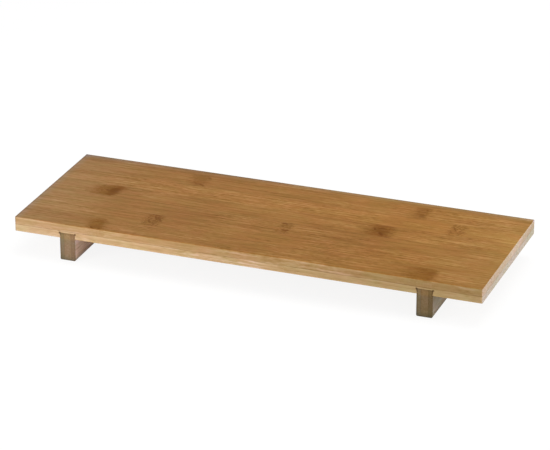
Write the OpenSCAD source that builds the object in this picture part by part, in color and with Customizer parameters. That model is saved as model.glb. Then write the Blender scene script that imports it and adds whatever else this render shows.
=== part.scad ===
// Geta serving board: a panel of two glued layers of bamboo strips, carried by two laminated
// cross legs that are let into its underside in sliding dovetail grooves.
// The origin is the centre of the footprint on the table. +X runs along the board, -Y is the
// front edge and +Z is up.

/* [Board] */
// Length of the board
board_l = 420; // [300:5:560]
// Depth of the board, from the front edge to the back edge
board_w = 152; // [100:1:220]
// Full-width strips side by side in the upper layer
full_strips = 6; // [4:1:9]
// Width of the last strip, at the back edge, as a share of a full one
last_share = 0.44; // [0.3:0.01:0.9]
// Thickness of the upper layer of strips
upper_ply_t = 6.6; // [4:0.1:10]
// Thickness of the lower layer of strips, which takes the leg grooves
lower_ply_t = 6.6; // [5.5:0.1:10]
// Radius rubbed on the arrises round the upper and the lower face
arris_r = 0.8; // [0.4:0.1:1.6]
// Radius of the four upright corners
corner_r = 1.6; // [1:0.1:4]

/* [Legs] */
// Height of the board's underside above the table
foot_h = 20.2; // [12:0.1:40]
// Thickness of a leg along the board
leg_w = 14.4; // [11:0.1:24]
// Distance from the end of the board to the outer face of a leg
leg_inset = 42.3; // [20:0.1:90]
// Thickness of a leg's core lamella, the two that cover it making up the rest
core_t = 6.2; // [4:0.1:8]
// Radius along the two lower edges of a foot
foot_r = 1.8; // [0.5:0.1:3]
// Radius rubbed round the cut ends of a leg
end_r = 0.6; // [0.3:0.1:1.5]

/* [Sliding dovetail] */
// Depth of the groove in the underside
groove_d = 5; // [3:0.1:5.2]
// How far each flank of the groove leans out from its mouth to its ceiling
flare = 0.9; // [0.3:0.1:1.2]
// Chamfer on the upper edges of the tail
tail_ease = 0.8; // [0.3:0.1:1]
// Glue gap along each flank
flank_gap = 0.12; // [0.05:0.01:0.2]
// Glue gap over the tail
crown_gap = 0.2; // [0.1:0.05:0.5]

/* [Hidden] */
$fn = 64;
// How far cutting shapes run past what they cut
overrun = 1;

board_t = lower_ply_t + upper_ply_t;
seam_z = foot_h + lower_ply_t;
top_z = foot_h + board_t;
strip_w = board_w / (full_strips + last_share);
strip_total = full_strips + 1;
leg_x = (board_l - leg_w) / 2 - leg_inset;
tail_h = groove_d - crown_gap;
neck_half = leg_w / 2 - flare;

// Where a glue line of the lower layer lies between two of the upper layer
stagger_share = 0.5;
// Glue lines of the upper layer, from the front edge to the back edge
upper_lines = [
    for (i = [0:full_strips]) i * strip_w - board_w / 2,
    board_w / 2
];
// Glue lines of the lower layer, which has half a strip at the front edge
lower_lines = [
    -board_w / 2,
    for (i = [0:full_strips - 1]) (i + stagger_share) * strip_w - board_w / 2,
    board_w / 2
];
// Faces of a leg and the glue lines between its lamellae, from left to right
leg_lines = [-leg_w / 2, -core_t / 2, core_t / 2, leg_w / 2];

LAMELLAE = ["outer", "core", "inner"];
SIDES = ["left", "right"];

// Half the width of the dovetail at a height above the underside of the board.
function tail_half(height) = neck_half + flare * height / groove_d;

// An outline's right half, listed upwards, followed by its reflection, listed downwards.
function mirrored(right) =
    concat(right, [for (i = [len(right) - 1:-1:0]) [-right[i].x, right[i].y]]);

// Rectangle about the origin with rounded corners.
module rounded_rect(width, height, radius) {
    square([width - 2 * radius, height], center = true);
    square([width, height - 2 * radius], center = true);
    for (x = [-1, 1], y = [-1, 1])
        translate([x * (width / 2 - radius), y * (height / 2 - radius)])
            circle(r = radius);
}

// Rectangle that stands on the X axis, with its lower two corners rounded.
module foot_rect(width, height, radius) {
    translate([-width / 2, radius])
        square([width, height - radius]);
    translate([radius - width / 2, 0])
        square([width - 2 * radius, height]);
    for (x = [-1, 1])
        translate([x * (width / 2 - radius), radius])
            circle(r = radius);
}

// Extrudes a profile of XZ along Y, to both sides of the middle.
module along_y(length) {
    rotate([90, 0, 0])
        linear_extrude(length, center = true)
            children();
}

// Extrudes a profile of YZ along X, to both sides of the middle.
module along_x(length) {
    rotate([90, 0, 90])
        linear_extrude(length, center = true)
            children();
}

// The whole panel with its edges rubbed down, before the grooves are cut.
module panel() {
    intersection() {
        translate([0, 0, foot_h])
            linear_extrude(board_t)
                rounded_rect(board_l, board_w, corner_r);
        translate([0, 0, foot_h + board_t / 2]) {
            intersection() {
                along_y(board_w + 2 * overrun) rounded_rect(board_l, board_t, arris_r);
                along_x(board_l + 2 * overrun) rounded_rect(board_w, board_t, arris_r);
            }
        }
    }
}

// The stretch between two neighbouring lines, which runs past the first and the last of them.
function cell(lines, i) = [
    lines[i - 1] - (i == 1 ? overrun : 0),
    lines[i] + (i == len(lines) - 1 ? overrun : 0)
];

// What the panel holds between two glue lines, from one height to another.
module strip(lines, i, z_from, z_to) {
    y = cell(lines, i);
    intersection() {
        panel();
        translate([-board_l / 2 - overrun, y[0], z_from])
            cube([board_l + 2 * overrun, y[1] - y[0], z_to - z_from]);
    }
}

// The groove across the underside that a leg slides into from the front.
module groove(x) {
    mouth_half = neck_half + flank_gap;
    translate([x, 0, foot_h])
        along_y(board_w + 2 * overrun)
            polygon(mirrored([
                [mouth_half, -overrun],
                [mouth_half, 0],
                [tail_half(groove_d) + flank_gap, groove_d]
            ]));
}

// A whole leg: the foot, whose top seats on the underside, and the tail that fills the groove.
module leg() {
    intersection() {
        linear_extrude(foot_h)
            rounded_rect(leg_w, board_w, end_r);
        along_y(board_w + 2 * overrun) foot_rect(leg_w, foot_h + overrun, foot_r);
        along_x(leg_w + 2 * overrun) foot_rect(board_w, foot_h + overrun, end_r);
    }
    translate([0, 0, foot_h])
        along_y(board_w)
            polygon(mirrored([
                [neck_half, 0],
                [tail_half(tail_h - tail_ease), tail_h - tail_ease],
                [tail_half(tail_h) - tail_ease, tail_h]
            ]));
}

// A strip of the layer that food is served on, counted from the front edge.
module upper_strip(i) {
    color([0.66, 0.47, 0.27])
        strip(upper_lines, i, seam_z, top_z + overrun);
}

// A strip of the layer underneath, counted from the front edge, with both grooves across it.
module lower_strip(i) {
    color([0.78, 0.62, 0.41])
        difference() {
            strip(lower_lines, i, foot_h - overrun, seam_z);
            for (x = [-leg_x, leg_x]) groove(x);
        }
}

// A lamella of a leg, counted from the nearer end of the board.
module lamella(side, place) {
    is_left = side == "left";
    x = cell(leg_lines, is_left ? place : len(leg_lines) - place);
    color([0.56, 0.46, 0.35])
        translate([is_left ? -leg_x : leg_x, 0, 0])
            intersection() {
                leg();
                translate([x[0], -board_w / 2 - overrun, -overrun])
                    cube([x[1] - x[0], board_w + 2 * overrun, top_z]);
            }
}

for (i = [1:strip_total])
    upper_strip(i);
for (i = [1:strip_total])
    lower_strip(i);
for (side = SIDES, place = [1:len(LAMELLAE)])
    lamella(side, place);
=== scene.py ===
"""Looks of a bamboo geta serving board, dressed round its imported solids.

Lengths are metres in the solids' own frame, with +X along the board, -Y its front edge and +Z up.
Shader patterns are measured in millimetres. A pair whose name ends in STEP holds the value at which
a smooth step starts from 0 and the value, which may be smaller, at which it has reached 1.
"""

import logging
import math
from dataclasses import dataclass
from enum import Enum
from typing import Mapping, Optional, Sequence, Union

import bmesh
import bpy
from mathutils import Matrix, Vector


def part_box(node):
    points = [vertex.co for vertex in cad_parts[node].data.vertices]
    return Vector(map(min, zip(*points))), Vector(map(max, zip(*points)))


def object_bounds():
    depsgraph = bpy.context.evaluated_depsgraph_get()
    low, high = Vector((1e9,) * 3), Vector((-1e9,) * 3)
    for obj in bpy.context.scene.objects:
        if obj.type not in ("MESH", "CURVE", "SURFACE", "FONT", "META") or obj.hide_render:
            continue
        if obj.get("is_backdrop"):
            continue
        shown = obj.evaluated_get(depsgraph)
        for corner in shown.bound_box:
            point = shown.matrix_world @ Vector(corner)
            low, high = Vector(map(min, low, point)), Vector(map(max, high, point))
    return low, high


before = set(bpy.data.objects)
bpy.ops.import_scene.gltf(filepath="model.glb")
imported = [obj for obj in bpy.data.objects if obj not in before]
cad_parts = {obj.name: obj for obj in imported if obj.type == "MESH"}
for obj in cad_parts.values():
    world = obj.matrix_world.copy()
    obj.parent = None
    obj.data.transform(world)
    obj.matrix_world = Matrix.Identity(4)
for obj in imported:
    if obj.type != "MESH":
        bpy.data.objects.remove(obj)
log = logging.getLogger("geta_board")

MM = 0.001
MEAN = 0.5
X, Y, Z = range(3)

Number = Union[float, "Value"]
Triple = tuple[Number, Number, Number]
Corners = tuple[Vector, Vector]
Colour = bpy.types.NodeSocket
SocketInput = Union[float, Sequence[float], "Value", bpy.types.NodeSocket]


@dataclass(frozen=True)
class Tone:
    """A colour as a screen shows it.

    Attributes:
        red: Red from 0 to 255.
        green: Green from 0 to 255.
        blue: Blue from 0 to 255.
    """

    red: float
    green: float
    blue: float

    FULL = 255
    # A screen's curve, which is straight for the darkest tones.
    STRAIGHT_UP_TO = 0.04045
    STRAIGHT_SLOPE = 12.92
    CURVE_LIFT = 0.055
    CURVE_POWER = 2.4

    def times(self, red: float, green: float, blue: float) -> "Tone":
        """Returns the tone with each of its channels multiplied by a share."""
        return Tone(self.red * red, self.green * green, self.blue * blue)

    def linear(self) -> tuple[float, float, float, float]:
        """Turns the tone into what a shader socket takes.

        Returns:
            The scene-linear red, green and blue, and an alpha of 1.
        """
        channels = []
        for channel in (self.red, self.green, self.blue):
            share = min(channel / self.FULL, 1.0)
            straight = share / self.STRAIGHT_SLOPE
            curved = ((share + self.CURVE_LIFT) / (1 + self.CURVE_LIFT)) ** self.CURVE_POWER
            channels.append(straight if share <= self.STRAIGHT_UP_TO else curved)
        return (*channels, 1.0)


class Value:
    """A number that a shader works out, on which Python's operators add Math nodes."""

    def __init__(self, tree: "ShaderTree", socket: bpy.types.NodeSocket) -> None:
        """Wraps the output socket of a tree's node."""
        self.tree = tree
        self.socket = socket

    def __add__(self, other: Number) -> "Value":
        """Returns the sum."""
        return self.tree.math("ADD", self, other)

    def __radd__(self, other: Number) -> "Value":
        """Returns the sum, with this value on the right."""
        return self.tree.math("ADD", other, self)

    def __sub__(self, other: Number) -> "Value":
        """Returns the difference."""
        return self.tree.math("SUBTRACT", self, other)

    def __rsub__(self, other: Number) -> "Value":
        """Returns the difference, with this value on the right."""
        return self.tree.math("SUBTRACT", other, self)

    def __mul__(self, other: Number) -> "Value":
        """Returns the product."""
        return self.tree.math("MULTIPLY", self, other)

    def __rmul__(self, other: Number) -> "Value":
        """Returns the product, with this value on the right."""
        return self.tree.math("MULTIPLY", other, self)

    def __truediv__(self, other: Number) -> "Value":
        """Returns the quotient."""
        return self.tree.math("DIVIDE", self, other)

    def __rtruediv__(self, other: Number) -> "Value":
        """Returns the quotient, with this value on the right."""
        return self.tree.math("DIVIDE", other, self)

    def __abs__(self) -> "Value":
        """Returns the size without its sign."""
        return self.tree.math("ABSOLUTE", self)

    def rises(self, low: float, high: float) -> "Value":
        """Adds a smooth step.

        Args:
            low: The value at which the step starts from 0.
            high: The value at which it has reached 1. It may be the smaller one.

        Returns:
            The step, from 0 to 1.
        """
        settings = {"interpolation_type": "SMOOTHSTEP"}
        inputs = {"Value": self, "From Min": low, "From Max": high}
        return Value(self.tree, self.tree.node("MapRange", settings, inputs).outputs[0])


class ShaderTree:
    """The node tree of one material or world, with short ways to add nodes to it."""

    MIX_FACTOR, MIX_FIRST, MIX_SECOND, MIX_RESULT = 0, 6, 7, 2

    def __init__(self, owner: Union[bpy.types.Material, bpy.types.World]) -> None:
        """Empties the tree.

        Args:
            owner: The new material or world whose tree it is.
        """
        owner.use_nodes = True
        self.owner = owner
        self.tree = owner.node_tree
        self.tree.nodes.clear()

    def node(
        self,
        kind: str,
        settings: Optional[Mapping[str, object]] = None,
        inputs: Optional[Mapping[Union[str, int], SocketInput]] = None,
    ) -> bpy.types.Node:
        """Adds one node.

        Args:
            kind: The node's type, without its ShaderNode prefix.
            settings: Properties of the node, set first. "stops" is a ramp's places and tones.
            inputs: What each input socket, by its name or number, holds or is linked to.

        Returns:
            The new node.
        """
        made = self.tree.nodes.new("ShaderNode" + kind)
        for name, setting in (settings or {}).items():
            if name == "stops":
                self._set_stops(made.color_ramp, setting)
            else:
                setattr(made, name, setting)
        for key, given in (inputs or {}).items():
            given = given.socket if isinstance(given, Value) else given
            if isinstance(given, bpy.types.NodeSocket):
                self.tree.links.new(given, made.inputs[key])
            else:
                made.inputs[key].default_value = given
        return made

    @staticmethod
    def _set_stops(ramp: bpy.types.ColorRamp, stops: Sequence[tuple[float, Tone]]) -> None:
        """Gives a colour ramp its stops.

        Args:
            ramp: The ramp of a new node, which has two stops.
            stops: At least two places from 0 to 1, each with its tone.
        """
        for index, (place, tone) in enumerate(stops):
            while index >= len(ramp.elements):
                ramp.elements.new(place)
            ramp.elements[index].position = place
            ramp.elements[index].color = tone.linear()

    def math(self, operation: str, *operands: Number) -> Value:
        """Returns the result of a Math node's operation on one or more numbers or values."""
        made = self.node("Math", {"operation": operation}, dict(enumerate(operands)))
        return Value(self, made.outputs[0])

    def largest(self, *values: Value) -> Value:
        """Compares some values.

        Args:
            values: One or more values.

        Returns:
            The largest of them.
        """
        result = values[0]
        for value in values[1:]:
            result = self.math("MAXIMUM", result, value)
        return result

    def distance(self, first: Value, second: Value) -> Value:
        """Returns how far off a point lies that is off by one value and, square to it, another."""
        return self.math("SQRT", first * first + second * second)

    def vector(self, parts: Triple) -> bpy.types.NodeSocket:
        """Returns a vector socket made from three numbers or values."""
        return self.node("CombineXYZ", None, dict(enumerate(parts))).outputs[0]

    def split(self, vector: bpy.types.NodeSocket) -> Triple:
        """Returns the three values of a vector socket."""
        outputs = self.node("SeparateXYZ", None, {0: vector}).outputs
        return tuple(Value(self, output) for output in outputs)

    def ramp(self, value: Value, stops: Sequence[tuple[float, Tone]]) -> Colour:
        """Returns the colour that a ramp gives a value."""
        return self.node("ValToRGB", {"stops": stops}, {0: value}).outputs[0]

    def mix(
        self,
        factor: Number,
        first: SocketInput,
        second: SocketInput,
        blend: str = "MIX",
    ) -> Colour:
        """Mixes two colours.

        Args:
            factor: The share of the second colour, from 0 to 1.
            first: The colour at a factor of 0.
            second: The colour at a factor of 1, or what it is blended with.
            blend: The node's blend type.

        Returns:
            The mix.
        """
        settings = {"data_type": "RGBA", "blend_type": blend}
        inputs = {self.MIX_FACTOR: factor, self.MIX_FIRST: first, self.MIX_SECOND: second}
        return self.node("Mix", settings, inputs).outputs[self.MIX_RESULT]

    def tint(self, colour: Colour, tint: SocketInput, share: Number = 1.0) -> Colour:
        """Returns a colour multiplied by a tint, by a share from 0 to 1."""
        return self.mix(share, colour, tint, "MULTIPLY")

    def brighten(self, colour: Colour, factor: Number) -> Colour:
        """Returns a colour made brighter or darker by a factor."""
        made = self.node("VectorMath", {"operation": "SCALE"}, {0: colour, "Scale": factor})
        return made.outputs[0]

    def surface(self, shader: bpy.types.Node) -> None:
        """Ends the tree in a shader node."""
        is_world = isinstance(self.owner, bpy.types.World)
        self.node("OutputWorld" if is_world else "OutputMaterial", None, {"Surface": shader.outputs[0]})


@dataclass(frozen=True)
class Cloud:
    """A pattern of soft blobs.

    Attributes:
        size: The length of a blob on each of three axes, in millimetres.
        detail: How many finer octaves it has.
        roughness: How strong the finer octaves are.
        weight: How much it counts where its swing is read.
    """

    size: tuple[float, float, float]
    detail: float = 2.0
    roughness: float = 0.5
    weight: float = 1.0

    def read(self, tree: ShaderTree, places: Triple) -> Value:
        """Adds the pattern to a tree.

        Args:
            tree: The tree to add to.
            places: The point's place on the three axes, in millimetres.

        Returns:
            The pattern, from 0 to 1 with a mean of 0.5.
        """
        place = tree.vector(tuple(part / length for part, length in zip(places, self.size)))
        inputs = {"Vector": place, "Scale": 1.0, "Detail": self.detail, "Roughness": self.roughness}
        return Value(tree, tree.node("TexNoise", None, inputs).outputs[0])

    def swing(self, tree: ShaderTree, places: Triple) -> Value:
        """Returns how far the pattern is off its mean, times its weight."""
        return (self.read(tree, places) - MEAN) * self.weight


class Grain(Enum):
    """Which of X, Y and Z lie along, across and through the strip that a piece is made of."""

    ALONG_BOARD = (X, Y, Z)
    ALONG_LEG = (Y, Z, X)

    def sort(self, parts: Triple) -> Triple:
        """Returns the X, Y and Z parts of something as along, across and through."""
        return tuple(parts[axis] for axis in self.value)


class Mark(Enum):
    """How a culm's node shows: its shares of stain, of dashes and of a rim, and the dashes' slant."""

    PATCH = (0.9, 0.5, 0.35, math.radians(28))
    STROKES = (0.25, 0.95, 0.15, math.radians(60))
    RING = (0.2, 0.6, 0.5, math.radians(40))


def turned(along: Value, across: Value, angle: float) -> tuple[Value, Value]:
    """Returns a place along and across a line that lies at an angle, in radians, to the fibres."""
    lengthwise = along * math.cos(angle) + across * math.sin(angle)
    return lengthwise, across * math.cos(angle) - along * math.sin(angle)


@dataclass(frozen=True)
class Streak:
    """A dark streak that stands out in a knuckle, in millimetres from the knuckle's middle.

    Attributes:
        along: How far off its middle lies along the fibres.
        across: How far off it lies across them.
        length: Half its length.
        breadth: Half its breadth.
        slant: Its angle to the fibres, in degrees.
        strength: How dark it is, from 0 to 1.
    """

    along: float
    across: float
    length: float
    breadth: float
    slant: float
    strength: float

    FRAY = 1.2
    OUTLINE_STEP = (1.25, 0.4)

    def read(self, tree: ShaderTree, along: Value, across: Value, ragged: Value) -> Value:
        """Adds the streak to a tree.

        Args:
            tree: The tree to add to.
            along: The place along the fibres from the knuckle's middle.
            across: The place across them from the strip's middle.
            ragged: A noise about 0 that frays the outline.

        Returns:
            How dark a point is, from 0 to 1.
        """
        slant = math.radians(self.slant)
        lengthwise, crosswise = turned(along - self.along, across - self.across, slant)
        distance = tree.distance(lengthwise / self.length, crosswise / self.breadth)
        return (distance + ragged * self.FRAY).rises(*self.OUTLINE_STEP) * self.strength


@dataclass(frozen=True)
class Scar:
    """What a knuckle does to the wood at a point.

    Attributes:
        tone: The colour that it stains the wood.
        stain: How much it is stained, from 0 to 1.
        dark: How much of its dark dashes and streaks lies there, from 0 to 1.
        pushed: How far the fibres are pushed aside, in millimetres.
    """

    tone: Tone
    stain: Value
    dark: Value
    pushed: Value


@dataclass(frozen=True)
class Knuckle:
    """A node of the culm, which crosses a strip as a stained scar with short slanting dashes.

    Attributes:
        along: Its place along the fibres, in millimetres from the middle of the part.
        mark: How it shows.
        strength: How dark it is, from 0 to 1.
        reach: Half its length along the fibres, in millimetres.
        tail: How much longer its low side fades out, as a multiple of its reach.
        lean: How far it shifts along the fibres for each millimetre across them.
        streaks: The dark streaks that stand out in it.
        tone: The colour that it stains the wood.
    """

    along: float
    mark: Mark
    strength: float = 0.7
    reach: float = 9.0
    tail: float = 0.0
    lean: float = 0.0
    streaks: tuple[Streak, ...] = ()
    tone: Tone = Tone(117, 70, 3)

    # Its frayed outline, which narrows towards the strip's sides, and how far it stains and marks.
    RAGGED = Cloud((7.0, 2.6, 1.0), 4.0, 0.6)
    FRAY = 1.4
    SIDE_SHARE, CORNER_SHARE = 0.15, 0.35
    TAIL_STEP = (1.0, -1.5)
    STAIN_STEP = (1.3, 0.15)
    NEAR_STEP = (1.3, 0.7)
    # Its dashes, and the fainter ones that cross them.
    DASHES = Cloud((4.5, 1.4, 1.0), 1.5)
    DASH_STEP = (0.52, 0.62)
    CROSSING_TURN, CROSSING_SHARE = -0.8, 0.55
    # Its wavy rim.
    WAVES = Cloud((7.0, 1.0, 1.0))
    WAVE_HEIGHT = 5.0
    RIM_PLACE, RIM_SHARE = 0.5, 0.8
    RIM_STEP = (1.0, 0.25)
    # How far the fibres round it are pushed at random, and how far away from the strip's middle.
    RANDOM_PUSH, SIDE_PUSH = 4.0, 1.6

    def read(self, tree: ShaderTree, along: Value, across: Value, width: float) -> Scar:
        """Adds the scar to a tree.

        Args:
            tree: The tree to add to.
            along: The place along the fibres, in millimetres.
            across: The place across them from the strip's middle, in millimetres.
            width: The strip's width, in millimetres.

        Returns:
            The scar at the point that is shaded.
        """
        stain_share, dash_share, rim_share, slant = self.mark.value
        ragged = self.RAGGED.read(tree, (along, across, self.along)) - MEAN
        off = along - self.along - across * self.lean
        run = off / self.reach * (1 - off.rises(*self.TAIL_STEP) * (self.tail / (1 + self.tail)))
        side = across / (width / 2)
        aside = side * side
        squares = run * run + aside * self.SIDE_SHARE + aside * aside * self.CORNER_SHARE
        distance = tree.math("SQRT", squares) + ragged * self.FRAY
        patch = distance.rises(*self.STAIN_STEP)
        near = distance.rises(*self.NEAR_STEP)
        dashes = tree.largest(
            self._dashes(tree, along, across, slant),
            self._dashes(tree, along, across, slant * self.CROSSING_TURN) * self.CROSSING_SHARE,
        )
        wave = self.WAVES.read(tree, (across, self.along, 0.0)) * self.WAVE_HEIGHT - self.WAVE_HEIGHT / 2
        rim = abs(off - self.reach * self.RIM_PLACE - wave).rises(*self.RIM_STEP) * rim_share
        marks = [streak.read(tree, off, across, ragged) for streak in self.streaks]
        dark = tree.largest(dashes * near * dash_share, rim * self.RIM_SHARE, *marks)
        pushed = (ragged * self.RANDOM_PUSH + side * self.SIDE_PUSH) * near
        return Scar(self.tone, patch * (stain_share * self.strength), dark * self.strength, pushed)

    def _dashes(self, tree: ShaderTree, along: Value, across: Value, slant: float) -> Value:
        """Returns dashes that lie at an angle, in radians, to the fibres."""
        place = (*turned(along, across, slant), self.along + slant)
        return self.DASHES.read(tree, place).rises(*self.DASH_STEP)


@dataclass(frozen=True)
class GlueLine:
    """A plane in which two pieces are glued.

    Attributes:
        axis: The axis that crosses the glue: X, Y or Z.
        place: Where it lies on that axis, in millimetres.
    """

    axis: int
    place: float


@dataclass(frozen=True)
class Dovetail:
    """The outline of a leg's tail in its groove, darkened as a glue line and as painted shade in the
    joint's gaps.

    Attributes:
        middle: Where its middle lies along the board, in millimetres.
        mouth: The height of its neck, at the underside.
        crown: The height of its top.
        neck: Half the width of its neck.
        crown_half: Half the width of its top.
        shoulder: Half the width of the leg under it.
    """

    middle: float
    mouth: float
    crown: float
    neck: float
    crown_half: float
    shoulder: float

    # How softly the lines end under the mouth and over the crown.
    MOUTH_FADE, CROWN_FADE = 0.3, 0.5
    # How near a flank, the crown, one of its corners, a shoulder and the mouth a point is dark.
    FLANK_STEP = (0.6, 0.15)
    CROWN_STEP = (0.55, 0.15)
    CORNER_STEP = (1.3, 0.4)
    SHOULDER_STEP = (0.7, 0.1)
    MOUTH_STEP = (0.5, 0.1)
    FLANK_SHARE, CROWN_SHARE, CORNER_SHARE = 0.75, 0.4, 0.95
    FRAYED = Cloud((2.2, 2.2, 2.2))
    FRAYED_STEP = (0.25, 0.65)

    def read(self, tree: ShaderTree, places: Triple) -> Value:
        """Adds the glue line and the painted gap shade to a tree.

        Args:
            tree: The tree to add to.
            places: The point's X, Y and Z, in millimetres.

        Returns:
            How dark a point is, from 0 to 1.
        """
        off, height = abs(places[X] - self.middle), places[Z]
        lean = (self.crown_half - self.neck) / (self.crown - self.mouth)
        beside = off - self.neck - (height - self.mouth) * lean
        over_mouth = height.rises(self.mouth - self.MOUTH_FADE, self.mouth)
        under_crown = height.rises(self.crown + self.CROWN_FADE, self.crown)
        flank = abs(beside).rises(*self.FLANK_STEP) * (over_mouth * under_crown)
        inside = off.rises(self.crown_half + self.CROWN_FADE, self.crown_half)
        crown = abs(height - self.crown).rises(*self.CROWN_STEP) * inside
        corner = tree.distance(off - self.crown_half, height - self.crown).rises(*self.CORNER_STEP)
        shoulder = abs(off - self.shoulder).rises(*self.SHOULDER_STEP)
        under = shoulder * abs(height - self.mouth).rises(*self.MOUTH_STEP)
        frayed = self.FRAYED.read(tree, places).rises(*self.FRAYED_STEP)
        return tree.largest(
            flank * frayed * self.FLANK_SHARE,
            crown * frayed * self.CROWN_SHARE,
            corner * self.CORNER_SHARE,
            under * frayed,
        )


@dataclass(frozen=True)
class Arrises:
    """The arrises of a block: painted highlight where they are lighter than its faces and painted shade
    where they are darker.

    Attributes:
        low: The block's lowest corner, in millimetres.
        high: Its highest corner.
        left: The share by which its left arrises are lighter, or darker where it is below 0.
        right: The same for its right arrises.
        front: The same for its front arrises.
        back: The same for its back arrises.
        reach: How far in from an arris the painted highlight and shade go, in millimetres.
    """

    low: Vector
    high: Vector
    left: float
    right: float
    front: float
    back: float
    reach: float = 1.7

    DARKEST = 0.4
    FULL_DEPTH = 0.3
    PATCHES = Cloud((16.0, 16.0, 6.0), 3.0)

    def read(self, tree: ShaderTree, places: Triple) -> Value:
        """Adds the painted highlight and shade to a tree.

        Args:
            tree: The tree to add to.
            places: The point's X, Y and Z, in millimetres.

        Returns:
            The share by which a point is lighter than its face, below 0 where it is darker.
        """
        x, y, z = places
        left, right = self._near(x - self.low.x), self._near(self.high.x - x)
        front, back = self._near(y - self.low.y), self._near(self.high.y - y)
        level = tree.largest(self._near(z - self.low.z), self._near(self.high.z - z))
        at_end = (left * self.left + right * self.right) * tree.largest(front, back, level)
        at_side = (front * self.front + back * self.back) * tree.largest(left, right, level)
        patchy = self.PATCHES.read(tree, places) + (1 - MEAN)
        # Patchy painted highlight on the lighter arrises and painted shade on the darker ones.
        return tree.math("MAXIMUM", (at_end + at_side) * patchy, -self.DARKEST)

    def _near(self, distance: Value) -> Value:
        """Returns 1 next to an outer face and 0 at the depth that the painted highlight and shade reach."""
        return distance.rises(self.reach, self.FULL_DEPTH)


@dataclass(frozen=True)
class Pool:
    """A soft stretch of a layer that is lighter or darker than the rest, in millimetres.

    Attributes:
        x: Where its middle lies along the board.
        y: Where its middle lies across the board.
        length: Half its length along the board.
        breadth: Half its breadth across the board.
        share: How much lighter it is, or darker where it is below 0.
    """

    x: float
    y: float
    length: float
    breadth: float
    share: float

    def read(self, tree: ShaderTree, places: Triple) -> Value:
        """Returns the share by which the point at an X, Y and Z, in millimetres, is lighter."""
        off, aside = (places[X] - self.x) / self.length, (places[Y] - self.y) / self.breadth
        return tree.distance(off, aside).rises(1.0, 0.0) * self.share


@dataclass(frozen=True)
class BambooTones:
    """The mean tones of one kind of bamboo.

    Attributes:
        face: The broad faces, top and bottom.
        edge: The long narrow faces, lighter than the broad faces as painted light.
        end: The cut ends.
    """

    face: Tone
    edge: Tone
    end: Tone

    def shaded(self, share: float) -> "BambooTones":
        """Returns the same bamboo with its broad faces lighter or darker by a share."""
        return BambooTones(self.face.times(share, share, share), self.edge, self.end)


@dataclass(frozen=True)
class Spot:
    """The point of a piece that is shaded.

    Attributes:
        places: Its X, Y and Z, in millimetres.
        inside: Its place along, across and through the fibres, shifted so that no strips are alike.
        broad_face: 1 on the top or bottom of a strip and 0 elsewhere.
        end_face: 1 on a cut end and 0 elsewhere.
        scars: What the strip's knuckles do to the wood there.
    """

    places: Triple
    inside: Triple
    broad_face: Value
    end_face: Value
    scars: tuple[Scar, ...]


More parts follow.
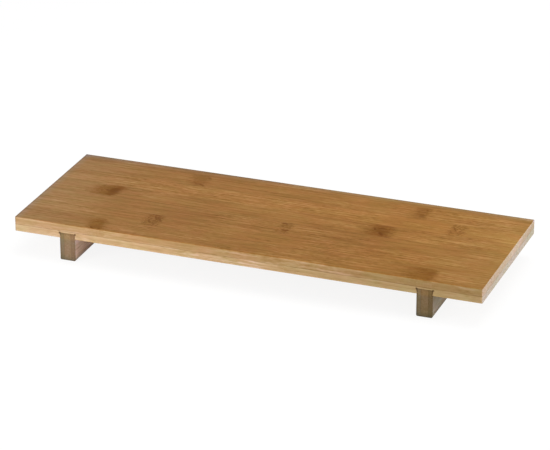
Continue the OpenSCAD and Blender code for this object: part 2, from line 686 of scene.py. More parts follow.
@dataclass(frozen=True)
class BambooFinish:
    """Sanded and oiled bamboo, whose fibres run through the whole of a piece.

    Attributes:
        grain: How the piece lies.
        tones: Its mean tones.
        middle: The place of the strip's middle across the fibres, in millimetres.
        width: The strip's width, in millimetres.
        arrises: The painted highlight and shade on the arrises of the block that the piece belongs to.
        glue_lines: Where the piece is glued to its neighbours.
        dovetails: The tails that the piece holds or is part of.
        knuckles: The culm's nodes that the strip crosses.
        lined: The stretch along the strip that is set with fine light lines, in millimetres.
        pools: The lighter and darker stretches of its layer.
        seed: How far the pattern is shifted, in millimetres, so that no two strips are alike.
        streaky: How strongly light and dark streaks show.
    """

    grain: Grain
    tones: BambooTones
    middle: float
    width: float
    arrises: Arrises
    glue_lines: tuple[GlueLine, ...] = ()
    dovetails: tuple[Dovetail, ...] = ()
    knuckles: tuple[Knuckle, ...] = ()
    lined: tuple[float, float] = (0.0, 0.0)
    pools: tuple[Pool, ...] = ()
    seed: float = 0.0
    streaky: float = 1.0

    # How squarely a face looks along one of the strip's axes.
    FACING_STEP = (0.35, 0.8)
    # The darkest and lightest fibres against the mean tone, and how light each of the three is.
    DARK_SHARES = (0.77, 0.70, 0.44)
    LIGHT_SHARES = (1.15, 1.20, 1.42)
    DARK_PLACE, MEAN_PLACE, LIGHT_PLACE = 0.15, 0.5, 0.85
    # The fibres, from broad clouds to short flecks and fine light lines.
    CLOUDS = Cloud((60.0, 10.0, 9.0), weight=0.26)
    BANDS = Cloud((110.0, 2.2, 2.2), 1.0, weight=0.28)
    FINE = Cloud((32.0, 1.3, 1.3), 1.0, weight=0.53)
    FLECKS = Cloud((6.0, 1.4, 1.4), 2.0, 0.6)
    LIGHT_LINES = Cloud((30.0, 1.6, 1.6), 3.0, 0.4)
    LIGHT_STEP = (0.52, 0.62)
    FIBRE_LEVEL = 0.46
    # Where flecks and light lines stand thick, and how strong they are at least and there.
    THICK = Cloud((55.0, 10.0, 10.0))
    THICK_STEP = (0.5, 0.68)
    LINED_STEP = (-12.0, 12.0)
    LINED_LIFT = 0.22
    FLECK_LEAST, FLECK_ADDED = 0.37, 0.5
    LIGHT_LEAST, LIGHT_ADDED = 0.02, 0.24
    # How far the fibres keep their contrast off the broad faces, and how much lighter they are as painted
    # light.
    SIDE_CONTRAST, SIDE_LIFT = 0.65, 0.17
    # The caps of the fibre bundles, and how much they show on a long face and more on a cut end.
    BUNDLE = Tone(96, 60, 22)
    BUNDLE_SIZE = (110.0, 1.05, 0.9)
    BUNDLE_STEP = (0.32, 0.14)
    BUNDLE_SHARE, END_BUNDLE_ADDED = 0.12, 0.1
    # How much of a knuckle shows off the broad faces, its stain and its dark marks.
    SIDE_SCAR = 0.15
    STAIN_SHARE, DARK_SHARE = 0.95, 0.9
    DARK_SCAR_SHARES = (0.82, 0.74, 0.5)
    # Glue in broken hairlines, and along a leg's tail glue with painted shade in the joint's gaps.
    GLUE = Tone(84, 56, 30)
    GLUE_STEP = (0.3, 0.1)
    BREAKS = Cloud((9.0, 9.0, 9.0))
    BREAKS_STEP = (0.35, 0.65)
    GLUE_LEAST, GLUE_ADDED = 0.12, 0.4
    TAIL_GLUE_SHARE = 0.85
    # A leg's tail is lighter and warmer than its foot, whose lowest millimetres are painted shade, greyer
    # towards the floor.
    TAIL_TINT = (1.2, 1.11, 0.92, 1.0)
    TAIL_FADE_DOWN, TAIL_FADE_UP = 2.0, 1.0
    GRIME = Tone(92, 86, 70)
    GRIME_HEIGHT = 5.5
    GRIME_LEAST, GRIME_ADDED = 0.3, 0.5
    # A broad face's tints at the board's ends, whose steps are shares of its length, and at two rims.
    HALF_BOARD = 210.0
    MIDDLE_SHARE = 0.5
    LEFT_TINT = (0.98, 1.03, 1.35, 1.0)
    RIGHT_TINT = (1.04, 1.0, 0.84, 1.0)
    PALE_TINT = (1.03, 1.14, 1.45, 1.0)
    PALE_STEP = (0.28, 0.5)
    LEFT_RIM_TINT = (0.96, 1.08, 1.55, 1.0)
    BACK_RIM_TINT = (0.97, 1.2, 2.0, 1.0)
    RIM_STEP = (9.0, 1.0)
    # A narrow face's tints at the board's ends, with painted shade towards the right end.
    UNTINTED = (1.0, 1.0, 1.0, 1.0)
    EDGE_LEFT_TINT = (0.93, 0.98, 1.12, 1.0)
    EDGE_LEFT_STEP = (0.3, 0.0)
    EDGE_RIGHT_TINT = (0.83, 0.87, 0.78, 1.0)
    EDGE_RIGHT_STEP = (0.5, 1.0)
    # Small redder and greener blotches, and how much a pool changes red, green and blue.
    BLOTCHES = Cloud((22.0, 11.0, 11.0))
    BLOTCH_STEP = (0.3, 0.7)
    RED_TINT = (1.03, 0.98, 1.0, 1.0)
    GREEN_TINT = (0.97, 1.02, 0.96, 1.0)
    POOL_SHARES = (0.7, 1.05, 1.3)
    # The relief of the fibres, the bundles and the knuckles' marks.
    FIBRE_RELIEF, BUNDLE_RELIEF, SCAR_RELIEF = 0.5, 0.6, 0.5
    RELIEF_STRENGTH, RELIEF_DEPTH = 0.5, 0.05 * MM
    # The oiled sheen.
    ROUGHNESS = 0.5
    FIBRE_POLISH, WEAR_POLISH = 0.15, 0.2
    END_ROUGHNESS, SCAR_ROUGHNESS = 0.12, 0.08
    REFRACTION = 1.45
    SHEEN = 0.06

    def dress(self, name: str) -> None:
        """Puts the finish on a node's own material slots.

        Args:
            name: The node.
        """
        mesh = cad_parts[name].data
        material = self._material(name + "_bamboo")
        if not mesh.materials:
            mesh.materials.append(material)
        for index in range(len(mesh.materials)):
            mesh.materials[index] = material

    def _material(self, name: str) -> bpy.types.Material:
        """Builds the material.

        Args:
            name: The material's name.

        Returns:
            The material, which reads the piece's own Object coordinates.
        """
        material = bpy.data.materials.new(name)
        tree = ShaderTree(material)
        spot = self._spot(tree)
        fibre = self._fibre(tree, spot)
        bundles = self._bundles(tree, spot)
        # The arrises' painted highlight and painted shade, which also set how smooth they are.
        worn = self.arrises.read(tree, spot.places)
        colour = self._faced(tree, fibre, spot)
        caps = bundles * (self.BUNDLE_SHARE + spot.end_face * self.END_BUNDLE_ADDED)
        colour = tree.mix(caps, colour, self.BUNDLE.linear())
        colour = self._scarred(tree, colour, spot)
        colour = tree.mix(self._glue(tree, spot), colour, self.GLUE.linear())
        colour = self._housed(tree, colour, fibre, spot)
        colour = self._pooled(tree, self._tinted(tree, colour, spot), spot)
        height = fibre * self.FIBRE_RELIEF - bundles * self.BUNDLE_RELIEF
        polish = (fibre - MEAN) * self.FIBRE_POLISH
        roughness = self.ROUGHNESS - polish + spot.end_face * self.END_ROUGHNESS - worn * self.WEAR_POLISH
        for scar in spot.scars:
            height = height - scar.dark * self.SCAR_RELIEF
            roughness = roughness + scar.dark * self.SCAR_ROUGHNESS
        bump = tree.node("Bump", None, {
            "Strength": self.RELIEF_STRENGTH,
            "Distance": self.RELIEF_DEPTH,
            "Height": height,
        })
        tree.surface(tree.node("BsdfPrincipled", None, {
            # Painted highlight and painted shade on the arrises.
            "Base Color": tree.brighten(colour, 1 + worn),
            "Roughness": roughness,
            "Normal": bump.outputs[0],
            "IOR": self.REFRACTION,
            "Specular IOR Level": self.SHEEN,
        }))
        return material

    def _spot(self, tree: ShaderTree) -> Spot:
        """Reads where the point that is shaded lies.

        Args:
            tree: The tree to add to.

        Returns:
            The point, and what the strip's knuckles do there.
        """
        source = tree.node("TexCoord").outputs
        places = tuple(part * (1 / MM) for part in tree.split(source["Object"]))
        along, across, depth = self.grain.sort(places)
        scars = tuple(one.read(tree, along, across - self.middle, self.width) for one in self.knuckles)
        pushed = sum((scar.pushed for scar in scars), 0.0)
        end, _, broad = self.grain.sort(tuple(abs(part) for part in tree.split(source["Normal"])))
        return Spot(
            places=places,
            inside=(along + self.seed, across + pushed + self.seed, depth),
            broad_face=broad.rises(*self.FACING_STEP),
            end_face=end.rises(*self.FACING_STEP),
            scars=scars,
        )

    def _fibre(self, tree: ShaderTree, spot: Spot) -> Value:
        """Adds the fibres to a tree.

        Args:
            tree: The tree to add to.
            spot: The point that is shaded.

        Returns:
            How light the fibres are, about 0.5 on average.
        """
        along = self.grain.sort(spot.places)[0]
        start, end = self.lined
        lined = (along - start).rises(*self.LINED_STEP) * (end - along).rises(*self.LINED_STEP)
        where = (self.THICK.read(tree, spot.inside) + lined * self.LINED_LIFT).rises(*self.THICK_STEP)
        flecks = self.FLECKS.read(tree, spot.inside) - MEAN
        light = self.LIGHT_LINES.read(tree, spot.inside).rises(*self.LIGHT_STEP)
        flecks = flecks * (where * self.FLECK_ADDED + self.FLECK_LEAST)
        light = light * (where * self.LIGHT_ADDED + self.LIGHT_LEAST) * (1 - spot.end_face)
        patterns = (self.CLOUDS, self.BANDS, self.FINE)
        clouds, bands, fine = (pattern.swing(tree, spot.inside) for pattern in patterns)
        total = (clouds + bands + fine + (flecks + light)) * self.streaky + self.FIBRE_LEVEL
        contrast = spot.broad_face * (1 - self.SIDE_CONTRAST) + self.SIDE_CONTRAST
        return total * contrast + (1 - spot.broad_face) * self.SIDE_LIFT

    def _bundles(self, tree: ShaderTree, spot: Spot) -> Value:
        """Adds the caps of the fibre bundles to a tree.

        Args:
            tree: The tree to add to.
            spot: The point that is shaded.

        Returns:
            How much of a cap lies there: dots on a cut end and fine lines elsewhere.
        """
        place = tree.vector(tuple(part / size for part, size in zip(spot.inside, self.BUNDLE_SIZE)))
        cells = tree.node("TexVoronoi", None, {"Vector": place, "Scale": 1.0})
        return Value(tree, cells.outputs["Distance"]).rises(*self.BUNDLE_STEP)

    def _faced(self, tree: ShaderTree, fibre: Value, spot: Spot) -> Colour:
        """Colours the fibres by the kind of face.

        Args:
            tree: The tree to add to.
            fibre: How light the fibres are.
            spot: The point that is shaded.

        Returns:
            The fibres' colour.
        """
        face, edge, end = (
            tree.ramp(fibre, [
                (self.DARK_PLACE, tone.times(*self.DARK_SHARES)),
                (self.MEAN_PLACE, tone),
                (self.LIGHT_PLACE, tone.times(*self.LIGHT_SHARES)),
            ])
            for tone in (self.tones.face, self.tones.edge, self.tones.end)
        )
        return tree.mix(spot.end_face, tree.mix(spot.broad_face, edge, face), end)

    def _scarred(self, tree: ShaderTree, colour: Colour, spot: Spot) -> Colour:
        """Stains and marks the wood at the strip's knuckles.

        Args:
            tree: The tree to add to.
            colour: The wood's colour.
            spot: The point that is shaded.

        Returns:
            The colour with the knuckles.
        """
        shown = spot.broad_face * (1 - self.SIDE_SCAR) + self.SIDE_SCAR
        for scar in spot.scars:
            dark = scar.tone.times(*self.DARK_SCAR_SHARES)
            colour = tree.mix(scar.stain * shown * self.STAIN_SHARE, colour, scar.tone.linear())
            colour = tree.mix(scar.dark * shown * self.DARK_SHARE, colour, dark.linear())
        return colour

    def _glue(self, tree: ShaderTree, spot: Spot) -> Value:
        """Adds the hairlines along which the piece is glued to its neighbours.

        Args:
            tree: The tree to add to.
            spot: The point that is shaded.

        Returns:
            How much glue shows there, from 0 to 1.
        """
        offs = [abs(spot.places[line.axis] - line.place) for line in self.glue_lines]
        broken = self.BREAKS.read(tree, spot.places).rises(*self.BREAKS_STEP)
        nearest = tree.largest(*(off.rises(*self.GLUE_STEP) for off in offs))
        return nearest * (self.GLUE_LEAST + broken * self.GLUE_ADDED)

    def _housed(self, tree: ShaderTree, colour: Colour, fibre: Value, spot: Spot) -> Colour:
        """Darkens the wood along the tails with glue and painted gap shade, and gives a leg its warmer tail
        and painted shade low on its foot.

        Args:
            tree: The tree to add to.
            colour: The wood's colour.
            fibre: How light the fibres are.
            spot: The point that is shaded.

        Returns:
            The colour with the tails' outlines.
        """
        height = spot.places[Z]
        for tail in self.dovetails:
            if self.grain is Grain.ALONG_LEG:
                in_groove = height.rises(tail.mouth - self.TAIL_FADE_DOWN, tail.mouth + self.TAIL_FADE_UP)
                colour = tree.tint(colour, self.TAIL_TINT, in_groove)
                # Painted shade along the foot's lowest millimetres, greyer towards the floor.
                grime = height.rises(self.GRIME_HEIGHT, 0.0) * (self.GRIME_LEAST + fibre * self.GRIME_ADDED)
                colour = tree.mix(grime, colour, self.GRIME.linear())
            # The tail's outline: a glue line with painted shade in the joint's gaps.
            glue = tail.read(tree, spot.places) * self.TAIL_GLUE_SHARE
            colour = tree.mix(glue, colour, self.GLUE.linear())
        return colour

    def _tinted(self, tree: ShaderTree, colour: Colour, spot: Spot) -> Colour:
        """Shifts the wood's hue with its place on the board.

        A broad face is cooler at the board's left end and more golden at its right, a little paler
        at both, and greyer along the left end and the back edge of the panel. A narrow face is
        cooler to the left and darker to the right as painted shade. Small blotches are redder or greener.

        Args:
            tree: The tree to add to.
            colour: The wood's colour.
            spot: The point that is shaded.

        Returns:
            The tinted colour.
        """
        x, y, _ = spot.places
        share = (x + self.HALF_BOARD) / (2 * self.HALF_BOARD)
        by_end = tree.mix(share, self.LEFT_TINT, self.RIGHT_TINT)
        colour = tree.tint(colour, by_end, spot.broad_face)
        pale = abs(share - self.MIDDLE_SHARE).rises(*self.PALE_STEP)
        colour = tree.tint(colour, self.PALE_TINT, pale * spot.broad_face)
        if self.grain is Grain.ALONG_BOARD:
            left_rim = (x - self.arrises.low.x).rises(*self.RIM_STEP)
            colour = tree.tint(colour, self.LEFT_RIM_TINT, left_rim * spot.broad_face)
            back_rim = (self.arrises.high.y - y).rises(*self.RIM_STEP)
            colour = tree.tint(colour, self.BACK_RIM_TINT, back_rim * spot.broad_face)
        by_end = tree.mix(share.rises(*self.EDGE_LEFT_STEP), self.UNTINTED, self.EDGE_LEFT_TINT)
        # Painted shade on the narrow faces towards the board's right end.
        by_end = tree.mix(share.rises(*self.EDGE_RIGHT_STEP), by_end, self.EDGE_RIGHT_TINT)
        colour = tree.tint(colour, by_end, 1 - tree.largest(spot.broad_face, spot.end_face))
        blotch = self.BLOTCHES.read(tree, spot.places).rises(*self.BLOTCH_STEP)
        return tree.tint(colour, tree.mix(blotch, self.RED_TINT, self.GREEN_TINT))

    def _pooled(self, tree: ShaderTree, colour: Colour, spot: Spot) -> Colour:
        """Makes the wood lighter or darker in its layer's pools.

        Args:
            tree: The tree to add to.
            colour: The wood's colour.
            spot: The point that is shaded.

        Returns:
            The colour with the pools.
        """
        light = sum((pool.read(tree, spot.places) for pool in self.pools), 0.0)
        by_channel = tree.vector(tuple(light * share + 1 for share in self.POOL_SHARES))
        return tree.node("VectorMath", {"operation": "MULTIPLY"}, {0: colour, 1: by_channel}).outputs[0]


def block_corners(names: Sequence[str]) -> Corners:
    """Measures several nodes together.

    Args:
        names: The nodes.

    Returns:
        Their lowest and their highest corner, in millimetres.
    """
    boxes = [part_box(name) for name in names]
    low = Vector([min(box[0][axis] for box in boxes) / MM for axis in (X, Y, Z)])
    high = Vector([max(box[1][axis] for box in boxes) / MM for axis in (X, Y, Z)])
    return low, high


@dataclass
class Leg:
    """One laminated cross leg, whose tail is let into the underside of the panel.

    Attributes:
        side: "left" or "right".
        seed: How far its patterns are shifted, in millimetres.
        end_tones: The end grain of its lamellae, from left to right.
        knuckles: The knuckles of its lamellae, from left to right.
        long_face: The tone of its long faces, set lighter on the left leg as painted light and darker on
            the right leg as painted shade.
        left_wear: The share by which its left arrises are lighter, or darker where it is below 0.
        right_wear: The same for its right arrises.
        end_wear: The same for its front and back arrises.
        tail_height: How far its tail goes into the panel, in millimetres.
        flare: How far each flank of its tail leans out, in millimetres.
        seed_step: How much further the patterns of each next lamella are shifted.
        streaky: How strongly light and dark streaks show.
        lamellae: What the lamellae are called.
    """

    side: str
    seed: float
    end_tones: tuple[Tone, ...]
    knuckles: tuple[tuple[Knuckle, ...], ...]
    long_face: Tone
    # Arris shares above 0 are painted highlight and below 0 painted shade.
    left_wear: float
    right_wear: float = 0.05
    end_wear: float = -0.12
    tail_height: float = 4.9
    flare: float = 0.9
    seed_step: float = 310.0
    streaky: float = 0.8
    lamellae: tuple[str, ...] = ("outer", "core", "inner")

    def names(self) -> list[str]:
        """Returns its nodes, from left to right."""
        names = [f"{self.side}_leg_{place}_lamella" for place in self.lamellae]
        return sorted(names, key=lambda name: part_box(name)[0].x)

    def dovetail(self) -> Dovetail:
        """Works out the tail from the leg's and the panel's solids.

        Returns:
            The outline of its tail.
        """
        low, high = block_corners(self.names())
        half = (high.x - low.x) / 2
        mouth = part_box("lower_strip_1")[0].z / MM
        return Dovetail(
            middle=low.x + half,
            mouth=mouth,
            crown=mouth + self.tail_height,
            neck=half - self.flare,
            crown_half=half,
            shoulder=half,
        )

    def dress(self) -> None:
        """Gives every lamella its own bamboo."""
        names = self.names()
        low, high = block_corners(names)
        arrises = Arrises(low, high, self.left_wear, self.right_wear, self.end_wear, self.end_wear)
        joints = tuple(GlueLine(X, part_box(name)[0].x / MM) for name in names[1:])
        for index, name in enumerate(names):
            BambooFinish(
                grain=Grain.ALONG_LEG,
                tones=BambooTones(self.long_face, self.long_face, self.end_tones[index]),
                middle=(low.z + high.z) / 2,
                width=high.z - low.z,
                arrises=arrises,
                glue_lines=joints,
                dovetails=(self.dovetail(),),
                knuckles=self.knuckles[index],
                seed=self.seed + self.seed_step * index,
                streaky=self.streaky,
            ).dress(name)
        log.info("%s leg: %d lamellae dressed", self.side, len(names))


@dataclass
class Layer:
    """One of the panel's two layers of edge-glued strips.

    Attributes:
        level: "upper" or "lower".
        tones: Its bamboo.
        shares: How light each strip is against the mean, from front to back.
        knuckles: The knuckles of each strip, from front to back.
        lined: The stretch of each strip that is set with fine light lines, in millimetres.
        pools: Its lighter and darker stretches.
        seed: How far its first strip's pattern is shifted, in millimetres.
        seed_step: How much further each next strip's is.
    """

    level: str
    tones: BambooTones
    shares: tuple[float, ...]
    knuckles: tuple[tuple[Knuckle, ...], ...]
    lined: tuple[tuple[float, float], ...]
    pools: tuple[Pool, ...]
    seed: float
    seed_step: float

    def names(self) -> list[str]:
        """Returns its nodes, from front to back."""
        return [f"{self.level}_strip_{number}" for number in range(1, len(self.shares) + 1)]

    def dress(self, arrises: Arrises, seam: float, dovetails: tuple[Dovetail, ...]) -> None:
        """Gives every strip its own bamboo.

        Args:
            arrises: The panel's arrises.
            seam: The height of the joint between the layers, in millimetres.
            dovetails: The tails of the legs, where the layer holds them.
        """
        names = self.names()
        front, back = (corner.y for corner in block_corners(names))
        for index, name in enumerate(names):
            low, high = block_corners([name])
            sides = [place for place in (low.y, high.y) if front < place < back]
            BambooFinish(
                grain=Grain.ALONG_BOARD,
                tones=self.tones.shaded(self.shares[index]),
                middle=(low.y + high.y) / 2,
                width=high.y - low.y,
                arrises=arrises,
                glue_lines=(GlueLine(Z, seam), *(GlueLine(Y, place) for place in sides)),
                dovetails=dovetails,
                knuckles=self.knuckles[index],
                lined=self.lined[index],
                pools=self.pools,
                seed=self.seed + self.seed_step * index,
            ).dress(name)
        log.info("%s layer: %d strips dressed", self.level, len(names))


@dataclass
class Panel:
    """The serving panel, which is glued up from two layers and holds the tails of the legs.

    Attributes:
        upper: The layer that is served on.
        lower: The layer with the grooves.
        left_wear: The share by which its left arrises are lighter, or darker where it is below 0.
        right_wear: The same for its right arrises.
        front_wear: The same for its front arrises.
        back_wear: The same for its back arrises.
        wear_reach: How far in from an arris the painted highlight and shade go, in millimetres.
    """

    upper: Layer
    lower: Layer
    # Arris shares above 0 are painted highlight and below 0 painted shade.
    left_wear: float = -0.3
    right_wear: float = 0.02
    front_wear: float = 0.12
    back_wear: float = -0.28
    wear_reach: float = 2.2

    def dress(self, legs: Sequence[Leg]) -> None:
        """Dresses both layers.

        Args:
            legs: The legs whose tails are let into it.
        """
        arrises = Arrises(
            *block_corners(self.upper.names() + self.lower.names()),
            left=self.left_wear,
            right=self.right_wear,
            front=self.front_wear,
            back=self.back_wear,
            reach=self.wear_reach,
        )
        seam = block_corners(self.upper.names())[0].z
        self.upper.dress(arrises, seam, ())
        self.lower.dress(arrises, seam, tuple(leg.dovetail() for leg in legs))


RUST = Tone(120, 74, 3)
UMBER = Tone(118, 70, 2)

UPPER_LAYER = Layer(
    level="upper",
    # The edge tone is lighter than the face tone as painted light.
    tones=BambooTones(Tone(150, 104.4, 49), Tone(178, 142, 98), Tone(182, 158, 138)),
    shares=(0.975, 0.99, 0.985, 1.0, 1.03, 1.005, 0.98),
    knuckles=(
        (
            Knuckle(-136, Mark.PATCH, 0.84, 7.5, 0.5, -0.2, (
                Streak(-5.0, -9, 2.8, 1.6, -60, 1.0),
                Streak(2.0, -9, 2.2, 1.3, -60, 0.8),
                Streak(2.0, 5, 3.5, 2.5, -60, 0.4),
            ), RUST),
            Knuckle(160, Mark.PATCH, 0.85, 7.5, 2.2, -0.06, (
                Streak(1.0, 3, 6.0, 4.5, -70, 0.5),
                Streak(2.0, -8, 2.5, 1.5, 10, 0.6),
            ), RUST),
        ),
        (
            Knuckle(-96, Mark.STROKES, 0.8, 8.0, 0.0, 0.0, (
                Streak(1.0, 5, 5.0, 1.3, -58, 0.9),
                Streak(5.0, 3, 6.5, 1.4, -52, 0.9),
                Streak(-1.5, -4, 4.5, 1.4, -58, 0.8),
                Streak(3.0, -7, 3.5, 1.4, -56, 0.7),
            )),
        ),
        (
            Knuckle(16, Mark.RING, 0.9, 6.0, 0.0, 0.0, (
                Streak(-3.0, 9, 3.6, 1.8, -8, 0.9),
                Streak(-3.0, 3, 2.0, 1.2, -50, 0.6),
                Streak(2.0, -4.5, 3.2, 1.5, 12, 0.85),
                Streak(4.0, 1, 3.0, 1.0, -60, 0.5),
            )),
        ),
        (
            Knuckle(-153.5, Mark.PATCH, 0.88, 8.5, 1.3, 0.2, (
                Streak(1.0, 0.5, 8.5, 6.0, -72, 0.9),
                Streak(-5.0, -0.5, 2.2, 1.5, -30, 0.9),
                Streak(2.5, -7.5, 5.5, 2.2, 5, 0.8),
            ), UMBER),
            Knuckle(95, Mark.PATCH, 0.95, 12.0, 0.25, -0.1, (
                Streak(-1.0, 4.5, 5.0, 1.4, 22, 1.0),
                Streak(-6.5, 2.0, 3.0, 1.3, -70, 0.9),
                Streak(0.5, -6, 5.0, 2.2, -58, 0.9),
                Streak(0.5, -1, 6.0, 4.5, 0, 0.4),
            )),
        ),
        (
            Knuckle(155, Mark.STROKES, 0.65, 8.0, 0.0, 0.0, (
                Streak(-3.0, 2, 7.0, 1.0, -62, 1.0),
                Streak(5.0, -4.5, 6.0, 1.2, 0, 0.8),
                Streak(6.0, 6.5, 2.0, 1.2, 10, 0.8),
                Streak(-4.5, -5, 4.0, 1.0, -66, 0.7),
            )),
        ),
        (
            Knuckle(-90, Mark.PATCH, 0.55, 9.0, 0.2, -0.15, (
                Streak(7.0, 8, 2.8, 2.0, -55, 1.0),
                Streak(3.0, -8, 4.0, 1.7, -40, 1.0),
                Streak(-4.0, -5, 3.5, 1.4, -50, 0.8),
            )),
            Knuckle(116, Mark.PATCH, 0.6, 7.0, 0.2, 0.0, (
                Streak(1.0, -5, 4.5, 3.5, -60, 0.7),
                Streak(2.0, 8, 3.5, 1.3, -65, 0.7),
                Streak(-4.0, 3, 3.0, 1.0, -60, 0.6),
            )),
        ),
        (),
    ),
    lined=((20, 115), (40, 150), (-46, 54), (115, 200), (-160, 90), (86, 200), (-20, 30)),
    pools=(
        Pool(-110, 76, 150, 22, -0.17),
        Pool(-200, 76, 40, 26, -0.12),
        Pool(120, 78, 130, 24, 0.13),
        Pool(212, 15, 40, 50, 0.16),
        Pool(75, -24, 65, 46, -0.14),
        Pool(-75, -26, 60, 40, -0.1),
        Pool(-182, -28, 45, 36, 0.12),
        Pool(-135, 8, 30, 18, -0.1),
        Pool(-15, 12, 55, 13, 0.09),
    ),
    seed=0.0,
    seed_step=170.0,
)

LOWER_LAYER = Layer(
    level="lower",
    # The edge tone is lighter than the face tone as painted light.
    tones=BambooTones(Tone(178, 138, 88), Tone(193, 160, 118), Tone(180, 168, 153)),
    shares=(1.0, 0.98, 1.02, 0.99, 1.01, 0.97, 1.0),
    knuckles=(
        (Knuckle(40, Mark.PATCH, 0.25),),
        (Knuckle(-120, Mark.PATCH, 0.7, 10.0, 0.5), Knuckle(128, Mark.STROKES, 0.6)),
        (Knuckle(-20, Mark.STROKES, 0.7),),
        (Knuckle(-178, Mark.PATCH, 0.6), Knuckle(72, Mark.PATCH, 0.8, 11.0, 0.4)),
        (Knuckle(-64, Mark.RING, 0.6, 8.0), Knuckle(186, Mark.PATCH, 0.6)),
        (Knuckle(8, Mark.PATCH, 0.7),),
        (Knuckle(-132, Mark.STROKES, 0.6), Knuckle(108, Mark.PATCH, 0.5)),
    ),
    lined=((-60, 20), (20, 110), (-190, -60), (-60, 60), (40, 180), (-150, -10), (30, 100)),
    pools=(Pool(-90, 20, 90, 50, -0.06), Pool(70, -30, 80, 45, 0.06)),
    seed=900.0,
    seed_step=230.0,
)

LEFT_LEG = Leg(
    side="left",
    seed=40.0,
    end_tones=(Tone(120, 105, 82), Tone(135, 113, 89), Tone(125, 102, 80)),
    knuckles=((), (), (Knuckle(20, Mark.PATCH, 0.5, 8.0),)),
    # Its long faces are painted lighter, painted light for its inner side in shade under the panel.
    long_face=Tone(229, 190, 146),
    left_wear=-0.22,
)

RIGHT_LEG = Leg(
    side="right",
    seed=1340.0,
    end_tones=(Tone(122, 106, 82), Tone(128, 106, 77), Tone(111, 93, 65)),
    knuckles=((Knuckle(-24, Mark.STROKES, 0.5, 8.0),), (), (Knuckle(36, Mark.PATCH, 0.5, 8.0),)),
    # Its long faces are painted darker, painted shade against the right lamp on its outer side.
    long_face=Tone(151, 136, 114),
    left_wear=-0.35,
)


@dataclass
class Lamp:
    """A soft rectangular studio lamp that is aimed at the middle of the board.

    Attributes:
        name: Its name.
        place: Where it hangs.
        size: Its width and height.
        watts: Its power.
        tone: The colour of its light.
    """

    name: str
    place: tuple[float, float, float]
    size: tuple[float, float]
    watts: float
    tone: Tone = Tone(255, 255, 255)

    def hang(self, target: Vector) -> None:
        """Makes the lamp, which lights the board but leaves no glare on it.

        Args:
            target: The point that it is aimed at.
        """
        data = bpy.data.lights.new(self.name, "AREA")
        data.shape = "RECTANGLE"
        data.size, data.size_y = self.size
        data.energy = self.watts
        data.color = self.tone.linear()[:3]
        lamp = bpy.data.objects.new(self.name, data)
        lamp.location = self.place
        lamp.rotation_euler = (target - Vector(self.place)).to_track_quat("-Z", "Y").to_euler()
        lamp.visible_glossy = False
        bpy.context.scene.collection.objects.link(lamp)
        log.info("%s: %.1f W", self.name, self.watts)


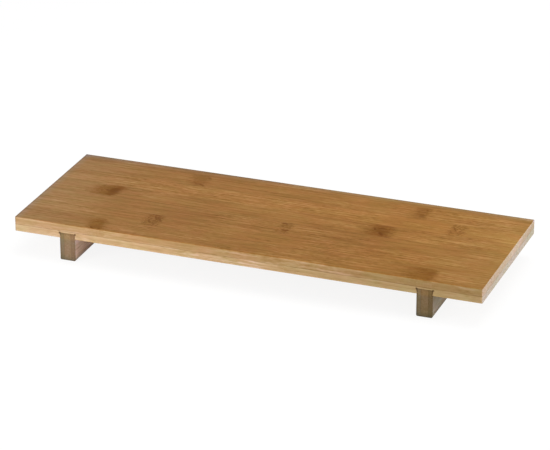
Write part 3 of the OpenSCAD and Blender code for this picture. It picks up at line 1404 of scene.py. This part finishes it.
@dataclass
class Studio:
    """The pale floor, the white surroundings and the lamps.

    Attributes:
        floor_radius: The radius of the round floor.
        floor_sides: How many sides stand for its round edge.
        floor_drop: How far the floor lies under the feet.
        bounce_tone: The colour in which the floor sends light on to the board.
        shadow_tone: The colour in which the camera sees light and shadow on the floor.
        glow: How much white the camera sees added to that.
        air: The strength of the light that comes from all round.
        lamps: The studio lamps.
    """

    floor_radius: float = 4.0
    floor_sides: int = 96
    floor_drop: float = 0.1 * MM
    bounce_tone: Tone = Tone(232, 232, 232)
    shadow_tone: Tone = Tone(102, 102, 102)
    glow: float = 0.88
    air: float = 0.48
    lamps: tuple[Lamp, ...] = (
        Lamp("front_left_lamp", (-0.42, -0.44, 0.14), (0.25, 0.2), 1.7),
        Lamp("low_fill_lamp", (0.8, -0.8, 0.05), (0.5, 0.08), 1.3),
        Lamp("right_lamp", (1.3, 0.1, 0.5), (0.8, 0.6), 8.0),
        Lamp("top_lamp", (0.2, 0.4, 1.8), (1.4, 1.0), 16.0),
    )

    def build(self) -> None:
        """Makes the floor, the surroundings and the lamps."""
        self._floor()
        self._surroundings()
        for lamp in self.lamps:
            lamp.hang(Vector((0, 0, 0)))

    def _floor(self) -> None:
        """Makes the round floor just under the feet."""
        shape = bmesh.new()
        bmesh.ops.create_circle(shape, cap_ends=True, segments=self.floor_sides, radius=self.floor_radius)
        bmesh.ops.translate(shape, verts=shape.verts, vec=(0, 0, -self.floor_drop))
        mesh = bpy.data.meshes.new("floor")
        shape.to_mesh(mesh)
        shape.free()
        floor = bpy.data.objects.new("floor", mesh)
        bpy.context.scene.collection.objects.link(floor)
        material = bpy.data.materials.new("floor_white")
        tree = ShaderTree(material)
        bounce = tree.node("BsdfDiffuse", None, {"Color": self.bounce_tone.linear()})
        shadow = tree.node("BsdfDiffuse", None, {"Color": self.shadow_tone.linear()})
        glow = tree.node("Emission", None, {"Strength": self.glow})
        shown = tree.node("AddShader", None, {0: shadow.outputs[0], 1: glow.outputs[0]})
        seen = self._seen(tree)
        tree.surface(tree.node("MixShader", None, {0: seen, 1: bounce.outputs[0], 2: shown.outputs[0]}))
        mesh.materials.append(material)
        floor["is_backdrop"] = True
        log.info("floor: radius %.1f m", self.floor_radius)

    @staticmethod
    def _seen(tree: ShaderTree) -> Value:
        """Tells what the camera sees from what only lights the board.

        Args:
            tree: The tree to add to.

        Returns:
            1 for what the camera sees, also in a gloss or through glass, and 0 otherwise.
        """
        path = tree.node("LightPath").outputs
        rays = ("Is Camera Ray", "Is Glossy Ray", "Is Transmission Ray")
        return tree.largest(*(Value(tree, path[ray]) for ray in rays))

    def _surroundings(self) -> None:
        """Makes the world: white to the camera, and an even soft light for the board."""
        world = bpy.data.worlds.new("white_room")
        bpy.context.scene.world = world
        tree = ShaderTree(world)
        strength = self.air + self._seen(tree) * (1 - self.air)
        white = Tone(255, 255, 255).linear()
        tree.surface(tree.node("Background", None, {"Color": white, "Strength": strength}))


@dataclass
class PhotoCamera:
    """The photograph's view of the board.

    Attributes:
        azimuth: How far round to the right the camera stands, in degrees.
        elevation: How far above the board it stands, in degrees.
        distance: From the middle of the serving face to the camera.
        lens: The focal length in millimetres.
        sensor: The width of the picture at that length, in millimetres.
        offset: How far right and down the middle of the serving face lies in the picture, in
            pixels of the photograph.
        frame_width: The photograph's width in pixels.
        nearest: How near to the camera a surface is still seen.
        farthest: How far from it a surface is still seen.
    """

    azimuth: float = 20.686
    elevation: float = 23.537
    distance: float = 2.5393
    lens: float = 193.70
    sensor: float = 36.0
    offset: tuple[float, float] = (-0.64, -6.93)
    frame_width: float = 550.0
    nearest: float = 0.01
    farthest: float = 100.0

    def place(self, target: Vector) -> None:
        """Makes the camera and hands it to the scene.

        Args:
            target: The middle of the serving face.
        """
        data = bpy.data.cameras.new("photo_camera")
        data.sensor_width = self.sensor
        data.lens = self.lens
        data.shift_x = -self.offset[0] / self.frame_width
        data.shift_y = self.offset[1] / self.frame_width
        data.clip_start, data.clip_end = self.nearest, self.farthest
        camera = bpy.data.objects.new("photo_camera", data)
        turn, rise = math.radians(self.azimuth), math.radians(self.elevation)
        level = math.cos(rise)
        back = Vector((math.sin(turn) * level, -math.cos(turn) * level, math.sin(rise)))
        camera.location = target + back * self.distance
        camera.rotation_euler = (-back).to_track_quat("-Z", "Y").to_euler()
        bpy.context.scene.collection.objects.link(camera)
        bpy.context.scene.camera = camera
        log.info("camera: %.2f m away", self.distance)


def main() -> None:
    """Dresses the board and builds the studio."""
    logging.basicConfig(level=logging.INFO, format="%(name)s %(message)s")
    solid_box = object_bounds()
    bpy.context.scene.view_settings.view_transform = "Standard"
    legs = (LEFT_LEG, RIGHT_LEG)
    Panel(UPPER_LAYER, LOWER_LAYER).dress(legs)
    for leg in legs:
        leg.dress()
    Studio().build()
    PhotoCamera().place(Vector((0, 0, solid_box[1].z)))


if __name__ == "__main__":
    main()
